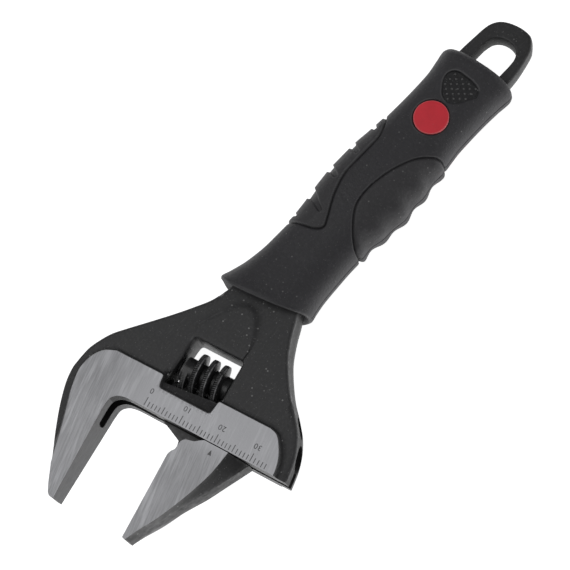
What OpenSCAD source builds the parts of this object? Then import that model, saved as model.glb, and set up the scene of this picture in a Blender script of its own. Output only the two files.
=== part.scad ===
// Adjustable wrench, wide-opening pattern: forged body with a fixed jaw,
// sliding jaw on a round rail, knurled worm on a cross pin, moulded handle.
// Millimetres. X runs along the handle towards the hanging loop, Z is the thickness.

/* [Head] */
// Angle between the jaw direction and the handle
jaw_angle = 15; // [10:0.5:20]
// Gap between the jaws as drawn
gap = 20; // [0.5:0.5:33.5]
// Thickness of the head over its ground faces
head_t = 12.7; // [12:0.1:13.5]
// Thickness of the jaws at their tips
tip_t = 8.3; // [6:0.1:10]
// Thickness of the plain forged part of the head
web_t = 10.6; // [9.5:0.1:11]

/* [Rail and worm] */
// Radius of the bore that the jaw rail slides in
bore_r = 3.4; // [3.3:0.05:3.5]
// Radial clearance of the rail in its bore
rail_clear = 0.08; // [0.05:0.01:0.1]
// Half width of the slot below the bore
slot_h = 1.5; // [1.3:0.05:1.8]
// Pitch of the worm and of the rack
pitch = 3.05; // [2.9:0.05:3.2]
// Outer radius of the worm
worm_r = 5.5; // [5.3:0.1:5.7]
// Core radius of the worm
core_r = 3.2; // [3.1:0.05:3.3]
// Radius of the worm's pin
pin_r = 1.5; // [1.3:0.05:1.6]

/* [Handle] */
// Half thickness of the tang inside the handle
tang_h = 3; // [2.5:0.1:3.5]
// Half thickness of the hanging loop
loop_h = 2.5; // [2:0.1:3]
// Depth of the two soft pads
pad_t = 1.8; // [1.4:0.1:2.2]
// Radius of the two coloured discs
disc_r = 4.5; // [4:0.1:4.8]

/* [Hidden] */
steel_dark = [0.2, 0.2, 0.21];
steel_bright = [0.6, 0.6, 0.61];

head_xy = [-52.04, 4.19];       // scale zero, in handle coordinates
shift = [15.94, 8.305, 8.818];     // handle coordinates to the part's own origin
jaw_x = -8.8 + gap;             // gripping face of the sliding jaw
fix_x = -8.8;                   // gripping face of the fixed jaw
edge_y = -15.7;                 // edge that the sliding jaw runs along
rail_y = -8.9;                  // rail axis
worm_y = -1.9;                  // worm axis
hh = head_t / 2;
wh = web_t / 2;
th = tip_t / 2;
worm_x0 = 4.2;                  // first and last point of the worm's thread
worm_x1 = 16;
phase_x = 6.7 + gap - 20;        // where the thread's crest faces +Z

module place() translate(shift) children();
module head() place() translate([head_xy[0], head_xy[1], 0]) rotate([0, 0, jaw_angle - 90]) children();

// ---- curves and lofts ----
function cr(a, b, c, d, t) = 0.5 * (2 * b + (c - a) * t + (2 * a - 5 * b + 4 * c - d) * t * t
    + (3 * b - a - 3 * c + d) * t * t * t);
function smooth(p, n) = let (m = len(p) - 1)
    [for (i = [0 : m - 1]) for (k = [0 : n - 1])
        cr(p[max(i - 1, 0)], p[i], p[i + 1], p[min(i + 2, m)], k / n), p[m]];
function unit2(v) = v / norm(v);
// a closed counter-clockwise outline moved inwards by d
function inset(p, d) = let (m = len(p))
    [for (i = [0 : m - 1]) let (
        u = unit2(p[i] - p[(i + m - 1) % m]), w = unit2(p[(i + 1) % m] - p[i]),
        b = unit2([-u[1] - w[1], u[0] + w[0]]), c = max(0.6, -u[1] * b[0] + u[0] * b[1]))
        p[i] + b * d / c];
function at_z(p, z) = [for (q = p) [q[0], q[1], z]];
// closed solid through rings of equal length, lowest ring first
module rings(r) {
    n = len(r[0]); m = len(r);
    polyhedron([for (g = r) each g], concat(
        [[for (i = [0 : n - 1]) i]],
        [for (j = [0 : m - 2]) for (i = [0 : n - 1]) each
            [[j * n + i, (j + 1) * n + i, j * n + (i + 1) % n],
             [j * n + (i + 1) % n, (j + 1) * n + i, (j + 1) * n + (i + 1) % n]]],
        [[for (i = [n - 1 : -1 : 0]) (m - 1) * n + i]]), convexity = 8);
}
// the same with domed end caps that fan out from the middle of each end
module loft(r) {
    n = len(r[0]); m = len(r); a = n * m;
    function mid(g) = [for (c = [0 : 2]) let (v = [for (q = g) q[c]]) (min(v) + max(v)) / 2];
    polyhedron([for (g = r) each g, mid(r[0]), mid(r[m - 1])], concat(
        [for (i = [0 : n - 1]) [a, i, (i + 1) % n]],
        [for (j = [0 : m - 2]) for (i = [0 : n - 1]) each
            [[j * n + i, (j + 1) * n + i, j * n + (i + 1) % n],
             [j * n + (i + 1) % n, (j + 1) * n + i, (j + 1) * n + (i + 1) % n]]],
        [for (i = [0 : n - 1]) [a + 1, (m - 1) * n + (i + 1) % n, (m - 1) * n + i]]), convexity = 8);
}
// plate with bevelled edges: full outline up to z0, inset by d at z1
module bevelled(p, z0, z1, d) intersection() {
    q = inset(p, 1.25 * d); zq = z0 + 1.25 * (z1 - z0);
    rings([at_z(q, -zq), at_z(p, -z0), at_z(p, z0), at_z(q, zq)]);
    translate([-90, -90, -z1]) cube([180, 180, 2 * z1]);
}
module prism(p, z0, z1) translate([0, 0, z0]) linear_extrude(z1 - z0) polygon(p);

// ---- outlines of the head, in head coordinates ----
fillet = [[-8.8, -20], [-8.4, -17.7], [-7.1, -16.4], [-5.2, -15.8], [-3, edge_y]];
back_of_head = smooth([[3.4, 20.3], [1, 15.8], [-2.1, 12.1], [-5.8, 8], [-10.8, 3], [-14.4, -0.6],
    [-17.1, -3.3], [-19, -6.1], [-20.4, -9.2], [-21.1, -13.3], [-21.1, -15.6], [-20.7, -19.2],
    [-19.4, -24.2], [-17.6, -29.2], [-15.8, -33.2], [-13.6, -38.2], [-12, -42.4], [-11.2, -44.6]], 3);
right_of_head = smooth([[39.6, edge_y], [39, -11.7], [38.1, -8.5], [37, -5.8], [35.6, -3.4], [33.8, -1.2],
    [32, 0.6], [29.7, 2.9], [27.7, 5.6], [25.6, 8.8], [24, 12], [22.7, 16.5], [21.7, 20.5], [20.6, 24.5], [19.6, 27.9]], 2);
forged_outline = concat([[5.1, 31.8], [4.1, 26]], back_of_head,
    [[-10.4, -45.25], [-7.2, -45.25], [-7.2, -20], [-6.9, -18.6], [-6, -17.7], [-4.6, -17.3], [-3, -17.3]],
    [[40, -17.3]], right_of_head);
face_back = smooth([[-13, -6.7], [-16.1, -8], [-18.1, -10.5], [-19, -13.2], [-19.2, -15.5], [-18.4, -20],
    [-17.1, -24.5], [-15.4, -30], [-13.8, -35.5], [-12.3, -40], [-11.3, -44.6]], 3);
face_right = smooth([[36.7, edge_y], [36.4, -13.6], [35.5, -10.9], [33.9, -8.2], [32.4, -6.6], [30.5, -6]], 2);
ground_face = concat([[0.4, -6.6]], face_back, [[-10.9, -45.1], [-7.9, -45.1]], [[-7.9, -20]],
    [[-7.8, -17.9], [-6.6, -16.9], [-4.8, -16.3], [-3, -16.2]], [[36.9, -16.2]], face_right,
    [[16.3, -6.1]]);
tongue = concat([[1.2, 2.5], [16.7, 2.5]],
    smooth([[16.9, 5], [16.5, 9.5], [14.9, 14], [12.6, 17], [10, 18], [7.4, 17], [4.8, 14], [2.6, 9.5], [1, 5]], 2));

// ---- body ----
module taper_cut() // both faces of the jaws thin towards the tips
    for (s = [0, 1]) mirror([0, 0, s]) translate([0, -20, hh])
        rotate([atan((hh - th) / 25.5), 0, 0]) translate([-60, -60, 0]) cube([130, 60, 20]);
// everything in front of the fixed jaw's face and of the working edge
module mouth() prism(concat([[-8.8, -60]], [[-8.8, -22]], smooth(fillet, 2), [[60, edge_y], [60, -60]]), -12, 12);
module window(x0, x1, y0, y1, r) translate([0, 0, -hh - 1]) linear_extrude(head_t + 2) {
    translate([x0 + r, y0]) square([x1 - x0 - 2 * r, y1 - y0]);
    translate([x0, y0 + r]) square([x1 - x0, y1 - y0 - 2 * r]);
    for (x = [x0 + r, x1 - r], y = [y0 + r, y1 - r]) translate([x, y]) circle(r, $fn = 24);
}
module along_x(x0, x1, y, r0, r1) translate([x0, y, 0]) rotate([0, 90, 0]) cylinder(h = x1 - x0, r1 = r0, r2 = r1, $fn = 48);
module head_cuts() {
    window(1.2, 16.3, -7.8, 5.6, 0.9);
    for (s = [0, 1]) mirror([0, 0, s]) prism([[1.6, -9.9], [14.9, -9.9], [15.7, -9.2], [15.9, -5], [0.6, -5], [0.8, -9.2]], hh - 0.6, hh + 2); // unground edge of the window
    along_x(-17.3, 50, rail_y, bore_r, bore_r);               // rail bore
    along_x(-18.8, -17.3, rail_y, 2.35, bore_r);
    translate([-17, edge_y - 1, -slot_h]) cube([70, rail_y - edge_y + 1, 2 * slot_h]); // slot to the working edge
    intersection() {                                           // pocket that takes the closed jaw's root
        translate([-6.8, -15.5, -3.2]) cylinder(h = 6.4, r = 9, $fn = 72);
        translate([-20, -30, -4]) cube([30, 20.5, 8]);
    }
    along_x(-5, 31, worm_y, pin_r + 0.05, pin_r + 0.05);       // pin hole and its counterbore
    along_x(29.5, 42, worm_y, 2.35, 2.35);
}
module worked() difference() { children(); mouth(); taper_cut(); head_cuts(); }
module body() color(steel_dark) {
    head() {
        worked() bevelled(forged_outline, wh - 1.6, wh, 1.2);
        worked() prism(ground_face, -hh, hh);
        worked() bevelled(tongue, wh - 0.9, hh - 0.35, 1.2);
    }
    place() tang_and_loop();
}
loop_outline = let (h = smooth([[53.4, 7.9], [58, 7.6], [61.4, 6.9], [64, 5.4], [65.8, 3], [66.55, 0]], 3))
    concat([[49, -7.9]], [for (i = [0 : len(h) - 1]) [h[i][0], -h[i][1]]],
        [for (i = [len(h) - 2 : -1 : 0]) h[i]], [[49, 7.9]]);
module tang_and_loop() {
    difference() {
        union() {
            translate([-27, -6, -tang_h]) cube([77.5, 12, 2 * tang_h]);
            bevelled(loop_outline, loop_h - 0.7, loop_h, 0.7);
        }
        translate([52.4, -3.8, -5]) cube([5, 7.6, 10]);
        translate([57.4, 0, -5]) cylinder(h = 10, r = 3.8, $fn = 64);
    }
}

// ---- sliding jaw, drawn at the stated gap ----
blade_in = concat([[6.4, -0.25], [5.6, -1.4], [4.4, -1.8], [2.7, -2], [1.7, -2.8], [1.3, -4.1], [0.9, -5.5], [0.1, -6.7], [0, -7.8]],
    [[0, -29.4], [0.5, -29.9], [2.2, -29.9]],
    [[2.8, -29.4], [5.2, -23], [7.4, -18.6], [9.3, -13.7], [10.8, -9.7], [12.2, -4.2], [13.1, -0.25]]);
blade_out = concat([[6.4, -0.25], [5.6, -1.4], [4.4, -1.8], [2.7, -2], [1.7, -2.8], [1.3, -4.1], [0.9, -5.5], [0.1, -6.7], [0, -7.8]],
    [[0, -29.4], [0.5, -29.9], [2.2, -29.9]],
    [[3, -29.4], [5.6, -23], [8.6, -17.2], [11.4, -12], [13.8, -7.2], [16, -2.6], [17.1, -0.25]]);
module blade() rings([at_z(blade_in, -hh), at_z(blade_out, -3.2), at_z(blade_out, 3.2), at_z(blade_in, hh)]);
module rack_grooves() // straight grooves across the rail, in step with the worm
    for (i = [-2 : 7]) translate([(i + 0.25) * pitch - 4.5, 0, -5])
        linear_extrude(10) polygon([[-0.85, -7.7], [0.85, -7.7], [1.4, -5], [-1.4, -5]]);
module movable_jaw() color(steel_bright) head() {
    difference() {
        union() {
            difference() {
                translate([jaw_x, edge_y, 0]) blade();
                taper_cut();
            }
            translate([jaw_x, edge_y, 0]) {
                prism([[-6.4, -0.25], [-0.3, -2.9], [0.4, -5.6], [0.8, -9], [9, -9], [14, -4], [17.1, -0.25]], -2.9, 2.9);
                prism([[-6.4, -0.3], [-7, 4], [17.1, 4], [17.1, -0.3]], -slot_h + 0.1, slot_h - 0.1);
            }
            difference() {
                union() {
                    along_x(jaw_x - 8.5, jaw_x + 19, rail_y, bore_r - rail_clear, bore_r - rail_clear);
                    along_x(jaw_x - 9.8, jaw_x - 8.5, rail_y, 2.35, bore_r - rail_clear);
                    along_x(jaw_x + 19, jaw_x + 19.8, rail_y, bore_r - rail_clear, 2.5);
                }
                translate([jaw_x, 0, 0]) rack_grooves();
            }
        }
    }
}

// ---- worm ----
// the thread's crest faces +Z at phase_x and moves towards -X as it turns to face +Y
turns = (worm_x1 - worm_x0) / pitch;
seg = 28;
module thread() {
    n = floor(turns * seg);
    prof = [[-1.05, core_r - 0.5], [1.05, core_r - 0.5], [0.5, 1], [-0.5, 1]]; // axial, radius (1 = crest)
    ring = function (k) let (
            x = worm_x0 + 0.6 + (worm_x1 - worm_x0 - 1.2) * k / n,
            a = 90 - 360 * (phase_x - x) / pitch,
            t = min(1, k / 6, (n - k) / 6), rc = core_r + 0.3 + (worm_r - core_r - 0.3) * t)
        [for (q = prof) let (r = q[1] == 1 ? rc : q[1])
            [x + q[0], worm_y + r * cos(a), r * sin(a)]];
    rings([for (k = [0 : n]) ring(k)]);
}
module worm() color(steel_dark) head() difference() {
    union() {
        along_x(2, 16.1, worm_y, core_r, core_r);
        thread();
    }
    along_x(1, 17, worm_y, pin_r + 0.07, pin_r + 0.07);
    along_x(1, 5, worm_y, 2.65, 2.65);
}
module worm_pin() color(steel_dark) head() difference() {
    union() {
        along_x(-4.6, -4, worm_y, 1, pin_r);
        along_x(-4, 30, worm_y, pin_r, pin_r);
        along_x(29.6, 32, worm_y, 2.25, 2.25);
    }
    translate([31.2, worm_y - 3, -0.35]) cube([2, 6, 0.7]);
}
module worm_spring() color(steel_bright) head() {
    w = 0.28; r = 2.15; n = 60; x0 = 1.5; x1 = 4.7;
    rings([for (k = [0 : n]) let (a = 1440 * k / n, x = x0 + (x1 - x0) * k / n)
        [for (j = [0 : 5]) let (b = 60 * j) [x + w * cos(b), worm_y + (r + w * sin(b)) * cos(a), (r + w * sin(b)) * sin(a)]]]);
}

// ---- handle ----
// station: X, upper side, lower side, half thickness, slant, bow of the collar
stations = [[-27.8, 10.3, -12.1, 8.5, 1, 1], [-27, 10.8, -12.6, 8.9, 1, 1], [-25, 10.1, -12.2, 8.6, 1, 0.9],
    [-21, 8.9, -11.6, 8.2, 0.95, 0.5], [-15, 8.3, -11.1, 7.9, 0.8, 0.15], [-9, 8.1, -10.8, 7.9, 0.55, 0],
    [-3, 8.9, -10.9, 8.1, 0.3, 0], [3, 9.7, -11.5, 8.3, 0.1, 0], [9, 10.2, -12.1, 8.4, 0, 0],
    [15, 10.2, -11.7, 8.4, 0, 0], [21, 9.8, -11.1, 8.3, 0, 0], [27, 9.3, -10.3, 8.1, 0, 0],
    [34, 9, -9.6, 8, 0, 0], [41, 9.2, -9.6, 8, 0, 0], [47, 9.9, -9.8, 8.1, 0, 0],
    [50.4, 10.4, -10, 8.1, 0, 0], [51.8, 9.9, -9.6, 7.6, 0, 0], [52.5, 8.4, -8.2, 6.6, 0, 0]];
function spow(v, p) = sign(v) * pow(abs(v), p);
function grip_ring(s, d, n) = [for (i = [0 : n - 1]) let (
        a = 360 * (i + 0.5) / n, yc = (s[1] + s[2]) / 2, w = (s[1] - s[2]) / 2 - d, h = s[3] - d,
        y = yc + w * spow(cos(a), 0.75), z = h * spow(sin(a), 0.75))
    [s[0] - 0.28 * s[4] * y - 1.9 * s[5] * pow(z / h, 2), y, z]];
module grip_form(d, n = 20) loft([for (s = stations) grip_ring(s, d, n)]);
thumb_zone = concat([[-9.6, 14]], smooth([[-9.3, 8.1], [-6.3, 0.4], [-4.3, -1], [-1.8, 0.4], [2.6, 3.3], [8.2, 5.1],
    [13.8, 5.5], [20.5, 6.1], [23.9, 7.5], [26.2, 9.5]], 2), [[26.8, 14]]);
finger_zone = concat([[-4.2, -15]], [[27.3, -15]], smooth([[27.3, -10.6], [28.3, -9.6], [25.9, -7.5], [20.4, -4.3], [14.8, -2.3],
    [9.3, -2.3], [3.7, -3.6], [-0.7, -6.8], [-3.3, -9.3], [-4.1, -10.6]], 2));
heel_shape = smooth([[40.2, 2.1], [39.2, 1.2], [38.5, -0.2], [38.5, -1.8], [39.4, -3.2], [40.7, -4.2], [42.3, -5], [44, -5.8],
    [45.4, -5.4], [46.2, -4.5], [46.5, -2.7], [46.5, -0.5], [46.3, 1.7], [45.5, 3.2], [43.9, 3.9], [42, 3.4], [40.2, 2.1]], 2);
heel_poly = [for (i = [0 : len(heel_shape) - 2]) heel_shape[i]];
module shell(zone) difference() {
    intersection() { grip_form(0); prism(zone, -12, 12); }
    grip_form(pad_t);
}
// the part of the forging's outline that the collar closes around
shank = concat([[5.1, 31.8], [4.1, 26]], [for (q = back_of_head) if (q[1] > 13) q],
    [for (q = right_of_head) if (q[1] > 11) q]);
module sockets() { // room for the shank, the tang, the discs and the heel pads
    tang_room();
    for (s = [0, 1]) mirror([0, 0, s]) {
        translate([32.9, -1.2, 7]) cylinder(h = 3, r = disc_r, $fn = 64);
        prism(heel_poly, 7, 10);
    }
    translate([head_xy[0], head_xy[1], 0]) rotate([0, 0, jaw_angle - 90]) bevelled(shank, wh - 1.6, wh, 1.2);
}
module tang_room() difference() {
    union() {
        translate([-27, -6, -tang_h]) cube([77.5, 12, 2 * tang_h]);
        bevelled(loop_outline, loop_h - 0.7, loop_h, 0.7);
    }
    translate([53, -12, -5]) cube([20, 24, 10]);
}
module grip_sleeve() color("#36353a") place() {
    difference() { grip_form(0); prism(thumb_zone, -12, 12); prism(finger_zone, -12, 12); sockets(); }
    difference() { grip_form(pad_t); sockets(); }
}
module thumb_pad() color("#303034") place() difference() {
    shell(thumb_zone);
    for (x = [-6.4, 0.6, 7.8, 16.3, 23]) translate([x - 0.45, 8.6 + (x < 3 ? -1.2 : 0), -9]) cube([0.9, 4, 18]);
}
module finger_pad() color("#303034") place() shell(finger_zone);
module red_disc() translate([32.9, -1.2, 7]) cylinder(h = 0.85, r = disc_r - 0.05, $fn = 64);
module red_disc_front() color("#b1323d") place() red_disc();
module red_disc_back() color("#b1323d") place() mirror([0, 0, 1]) red_disc();
module heel_pad() prism(inset(heel_poly, 0.05), 7, 7.55);
module heel_pad_front() color("#2c2b2f") place() heel_pad();
module heel_pad_back() color("#2c2b2f") place() mirror([0, 0, 1]) heel_pad();

body();
movable_jaw();
worm();
worm_pin();
worm_spring();
grip_sleeve();
thumb_pad();
finger_pad();
red_disc_front();
red_disc_back();
heel_pad_front();
heel_pad_back();
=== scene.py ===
# Looks for the adjustable wrench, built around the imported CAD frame.
import bpy
import bmesh
import math
import numpy as np
from mathutils import Matrix, Vector
from mathutils.geometry import delaunay_2d_cdt


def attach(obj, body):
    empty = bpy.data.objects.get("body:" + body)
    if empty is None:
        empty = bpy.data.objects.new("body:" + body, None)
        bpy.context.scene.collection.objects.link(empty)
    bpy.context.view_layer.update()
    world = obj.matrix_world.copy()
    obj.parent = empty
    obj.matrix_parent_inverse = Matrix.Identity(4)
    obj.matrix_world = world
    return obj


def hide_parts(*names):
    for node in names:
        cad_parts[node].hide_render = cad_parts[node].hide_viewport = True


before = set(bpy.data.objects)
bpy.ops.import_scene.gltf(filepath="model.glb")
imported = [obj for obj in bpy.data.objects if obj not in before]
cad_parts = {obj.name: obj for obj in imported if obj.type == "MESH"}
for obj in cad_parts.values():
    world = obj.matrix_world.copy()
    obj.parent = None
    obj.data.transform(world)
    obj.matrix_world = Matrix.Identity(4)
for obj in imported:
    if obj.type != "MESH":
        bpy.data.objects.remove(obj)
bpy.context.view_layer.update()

# ------------------------------------------------------------------ frames, in millimetres
SHIFT = np.array([15.94, 8.305, 8.818])
HX, HY = -52.04, 4.19
SA, CA = math.sin(math.radians(15)), math.cos(math.radians(15))


def from_handle(p):
    return (np.asarray(p, float) + SHIFT) * 0.001


def from_head(p):
    p = np.asarray(p, float)
    x = HX + p[:, 0] * SA + p[:, 1] * CA
    y = HY - p[:, 0] * CA + p[:, 1] * SA
    return (np.stack([x, y, p[:, 2]], 1) + SHIFT) * 0.001


# ------------------------------------------------------------------ curves
def smooth(p, n=6):
    p = np.asarray(p, float)
    m = len(p) - 1
    out = []
    for i in range(m):
        a, b, c, d = p[max(i - 1, 0)], p[i], p[i + 1], p[min(i + 2, m)]
        for k in range(n):
            t = k / n
            out.append(0.5 * (2 * b + (c - a) * t + (2 * a - 5 * b + 4 * c - d) * t * t
                              + (3 * b - a - 3 * c + d) * t ** 3))
    out.append(p[m])
    return np.array(out)


def ring(p, n=6):
    """Closed smooth curve through p."""
    p = np.asarray(p, float)
    m = len(p)
    out = []
    for i in range(m):
        a, b, c, d = p[i - 1], p[i], p[(i + 1) % m], p[(i + 2) % m]
        for k in range(n):
            t = k / n
            out.append(0.5 * (2 * b + (c - a) * t + (2 * a - 5 * b + 4 * c - d) * t * t
                              + (3 * b - a - 3 * c + d) * t ** 3))
    return np.array(out)


def resample(p, step, closed=True):
    """Points no further than step apart along each straight run, corners kept."""
    p = np.asarray(p, float)
    q = np.vstack([p, p[:1]]) if closed else p
    out = []
    for a, b in zip(q[:-1], q[1:]):
        n = max(1, int(math.ceil(np.linalg.norm(b - a) / step)))
        for k in range(n):
            out.append(a + (b - a) * k / n)
    if not closed:
        out.append(q[-1])
    out = np.array(out)
    keep = np.ones(len(out), bool)
    for i in range(1, len(out)):
        if np.linalg.norm(out[i] - out[i - 1]) < 1e-4:
            keep[i] = False
    return out[keep]


def round_corners(p, r, n=5):
    """Closed polygon with its corners rounded; r is one radius or one per corner."""
    p = np.asarray(p, float)
    m = len(p)
    rr = [r] * m if np.isscalar(r) else list(r)
    out = []
    for i in range(m):
        a, b, c = p[i - 1], p[i], p[(i + 1) % m]
        if rr[i] <= 0:
            out.append(b)
            continue
        u, w = (a - b), (c - b)
        lu, lw = np.linalg.norm(u), np.linalg.norm(w)
        u, w = u / lu, w / lw
        ang = math.acos(max(-1, min(1, float(u @ w))))
        t = min(rr[i] / math.tan(ang / 2), 0.49 * lu, 0.49 * lw)
        s, e = b + u * t, b + w * t
        for k in range(n + 1):
            f = k / n
            out.append((1 - f) ** 2 * s + 2 * f * (1 - f) * b + f * f * e)
    return np.array(out)


def inside(P, poly):
    P = np.asarray(P, float)
    x, y = P[:, 0], P[:, 1]
    res = np.zeros(len(P), bool)
    n = len(poly)
    for i in range(n):
        x0, y0 = poly[i - 1]
        x1, y1 = poly[i]
        if y0 == y1:
            continue
        c = ((y0 > y) != (y1 > y)) & (x < (x1 - x0) * (y - y0) / (y1 - y0) + x0)
        res ^= c
    return res


def dist(P, poly, closed=True):
    P = np.asarray(P, float)
    A = np.asarray(poly, float)
    B = np.roll(A, -1, 0) if closed else A[1:]
    if not closed:
        A = A[:-1]
    best = np.full(len(P), 1e9)
    for a, b in zip(A, B):
        ab = b - a
        L = float(ab @ ab)
        if L < 1e-12:
            continue
        t = np.clip(((P - a) @ ab) / L, 0, 1)
        d = P - a - t[:, None] * ab
        best = np.minimum(best, np.einsum("ij,ij->i", d, d))
    return np.sqrt(best)


def sstep(t):
    t = np.clip(t, 0, 1)
    return t * t * (3 - 2 * t)


def quarter(t):
    t = np.clip(t, 0, 1)
    return np.sqrt(np.maximum(0, 1 - (1 - t) ** 2))


# ------------------------------------------------------------------ meshes
def make(name, verts, faces, mats, index=None, angle=32, attrs=None, flat=False):
    me = bpy.data.meshes.new(name)
    me.from_pydata([tuple(v) for v in np.asarray(verts, float)], [], [tuple(int(i) for i in f) for f in faces])
    me.validate()
    for m in mats:
        me.materials.append(m)
    if index is not None:
        me.polygons.foreach_set("material_index", np.asarray(index, np.int32))
    for k, v in (attrs or {}).items():
        a = me.attributes.new(k, "FLOAT", "POINT")
        a.data.foreach_set("value", np.asarray(v, np.float32))
    me.update()
    ob = bpy.data.objects.new(name, me)
    bpy.context.scene.collection.objects.link(ob)
    if not flat:
        me.shade_smooth()
        if angle:
            me.set_sharp_from_angle(angle=math.radians(angle))
    return ob


def relief(outer, holes, lines, height, step, rings=(), clear=0.2):
    """Points and triangles of a region of the plane, dense near its edges, with crisp lines."""
    cons = [(np.asarray(outer, float), True)] + [(np.asarray(h, float), True) for h in holes] + lines
    pts, edges = [], []
    for p, closed in cons:
        b = len(pts)
        pts += [tuple(q) for q in p]
        n = len(p)
        edges += [(b + i, b + (i + 1) % n) for i in range(n if closed else n - 1)]
    lo, hi = outer.min(0), outer.max(0)
    gx, gy = np.meshgrid(np.arange(lo[0], hi[0], step), np.arange(lo[1], hi[1], step * 0.866))
    gx = gx + (np.arange(gx.shape[0]) % 2)[:, None] * step * 0.5
    g = np.stack([gx.ravel(), gy.ravel()], 1)
    extra = [g]
    for loop, offs in rings:
        loop = np.asarray(loop, float)
        t = np.roll(loop, -1, 0) - np.roll(loop, 1, 0)
        t /= np.maximum(np.linalg.norm(t, axis=1), 1e-9)[:, None]
        nrm = np.stack([-t[:, 1], t[:, 0]], 1)
        for o in offs:
            q = loop + nrm * o
            q = q[dist(q, loop) > abs(o) * 0.93]
            extra.append(q)
    g = np.vstack(extra)
    ok = inside(g, outer)
    for h in holes:
        ok &= ~inside(g, h)
    g = g[ok]
    near = np.full(len(g), 1e9)
    for p, closed in cons:
        near = np.minimum(near, dist(g, p, closed))
    g = g[near > clear * 0.45]
    # grid points stay off the rings' own rows
    pts += [tuple(q) for q in g]
    block = len(outer) + sum(len(h) for h in holes)
    out = delaunay_2d_cdt([Vector(p) for p in pts], edges, [], 0, 1e-5)
    v = np.array([[q[0], q[1]] for q in out[0]])
    f = np.array([t for t in out[2] if len(t) == 3])
    walls = {tuple(sorted(e)) for e, o in zip(out[1], out[4]) if any(k < block for k in o)}
    # regions between the outline and the holes, found by walking from triangle to triangle
    side = {}
    for i, t in enumerate(f):
        for k in range(3):
            side.setdefault(tuple(sorted((int(t[k]), int(t[(k + 1) % 3])))), []).append(i)
    area = 0.5 * ((v[f[:, 1], 0] - v[f[:, 0], 0]) * (v[f[:, 2], 1] - v[f[:, 0], 1])
                  - (v[f[:, 1], 1] - v[f[:, 0], 1]) * (v[f[:, 2], 0] - v[f[:, 0], 0]))
    label = -np.ones(len(f), int)
    ok = np.zeros(len(f), bool)
    for i in range(len(f)):
        if label[i] >= 0:
            continue
        label[i] = i
        group, todo = [i], [i]
        while todo:
            t = todo.pop()
            for k in range(3):
                e = tuple(sorted((int(f[t, k]), int(f[t, (k + 1) % 3]))))
                if e in walls:
                    continue
                for j in side[e]:
                    if label[j] < 0:
                        label[j] = i
                        group.append(j)
                        todo.append(j)
        big = group[int(np.argmax(np.abs(area[group])))]
        c = v[f[big]].mean(0)[None]
        if inside(c, outer)[0] and not any(inside(c, h)[0] for h in holes):
            ok[group] = True
    f[area < 0] = f[area < 0][:, ::-1]
    f = f[ok]
    used = np.unique(f)
    remap = -np.ones(len(v), int)
    remap[used] = np.arange(len(used))
    v, f = v[used], remap[f]
    return v, f, height(v)


def slab(v, f, top, bottom=None, crown=None):
    """Closed solid between z = top(v) and z = bottom(v); crown(v) pushes the middle of its side walls out."""
    n = len(v)
    bottom = -top if bottom is None else bottom
    V = [np.column_stack([v, top]), np.column_stack([v, bottom])]
    F = [tuple(t) for t in f] + [tuple(n + i for i in t[::-1]) for t in f]
    kind = [0] * len(f) + [1] * len(f)
    cnt = {}
    for t in f:
        for i in range(3):
            a, b = int(t[i]), int(t[(i + 1) % 3])
            cnt[(a, b)] = 1
    painted_highlight = [(a, b) for (a, b) in cnt if (b, a) not in cnt]
    nxt = {a: b for a, b in painted_highlight}
    prv = {b: a for a, b in painted_highlight}
    base = 2 * n
    mid = {}
    mids = []
    for a in nxt:
        t = v[nxt[a]] - v[prv.get(a, a)]
        t = t / max(np.linalg.norm(t), 1e-9)
        o = np.array([t[1], -t[0]])
        c = 0.0 if crown is None else float(crown(v[a:a + 1]))
        mid[a] = base + len(mids)
        mids.append([v[a][0] + o[0] * c, v[a][1] + o[1] * c, 0.5 * (top[a] + bottom[a])])
    V.append(np.array(mids))
    for a, b in painted_highlight:
        F.append((a, mid[a], mid[b], b))
        F.append((mid[a], n + a, n + b, mid[b]))
        kind += [2, 2]
    return np.vstack(V), F, np.array(kind)


def cutter(name, verts, faces, mat, to):
    ob = make(name, to(verts), faces, [mat] if mat else [], flat=True)
    return ob


def extruded(poly, z0, z1):
    n = len(poly)
    v = [[p[0], p[1], z0] for p in poly] + [[p[0], p[1], z1] for p in poly]
    f = [tuple(range(n - 1, -1, -1)), tuple(range(n, 2 * n))]
    f += [(i, (i + 1) % n, n + (i + 1) % n, n + i) for i in range(n)]
    return np.array(v, float), f


def lathe_x(prof, y, z=0.0, n=64):
    """Closed solid of revolution about a line along x' at (y, z); prof = [(x, r), ...] from one end to the other."""
    v, f = [], []
    for x, r in prof:
        for k in range(n):
            a = 2 * math.pi * k / n
            v.append([x, y + r * math.cos(a), z + r * math.sin(a)])
    m = len(prof)
    for j in range(m - 1):
        for k in range(n):
            a, b = j * n + k, j * n + (k + 1) % n
            f.append((a, a + n, b + n, b))
    v.append([prof[0][0], y, z])
    v.append([prof[-1][0], y, z])
    c0, c1 = len(v) - 2, len(v) - 1
    for k in range(n):
        f.append((c0, k, (k + 1) % n))
        f.append((c1, (m - 1) * n + (k + 1) % n, (m - 1) * n + k))
    return np.array(v, float), f


def fix_normals(ob):
    bm = bmesh.new()
    bm.from_mesh(ob.data)
    bmesh.ops.recalc_face_normals(bm, faces=bm.faces)
    bm.to_mesh(ob.data)
    bm.free()


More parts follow.
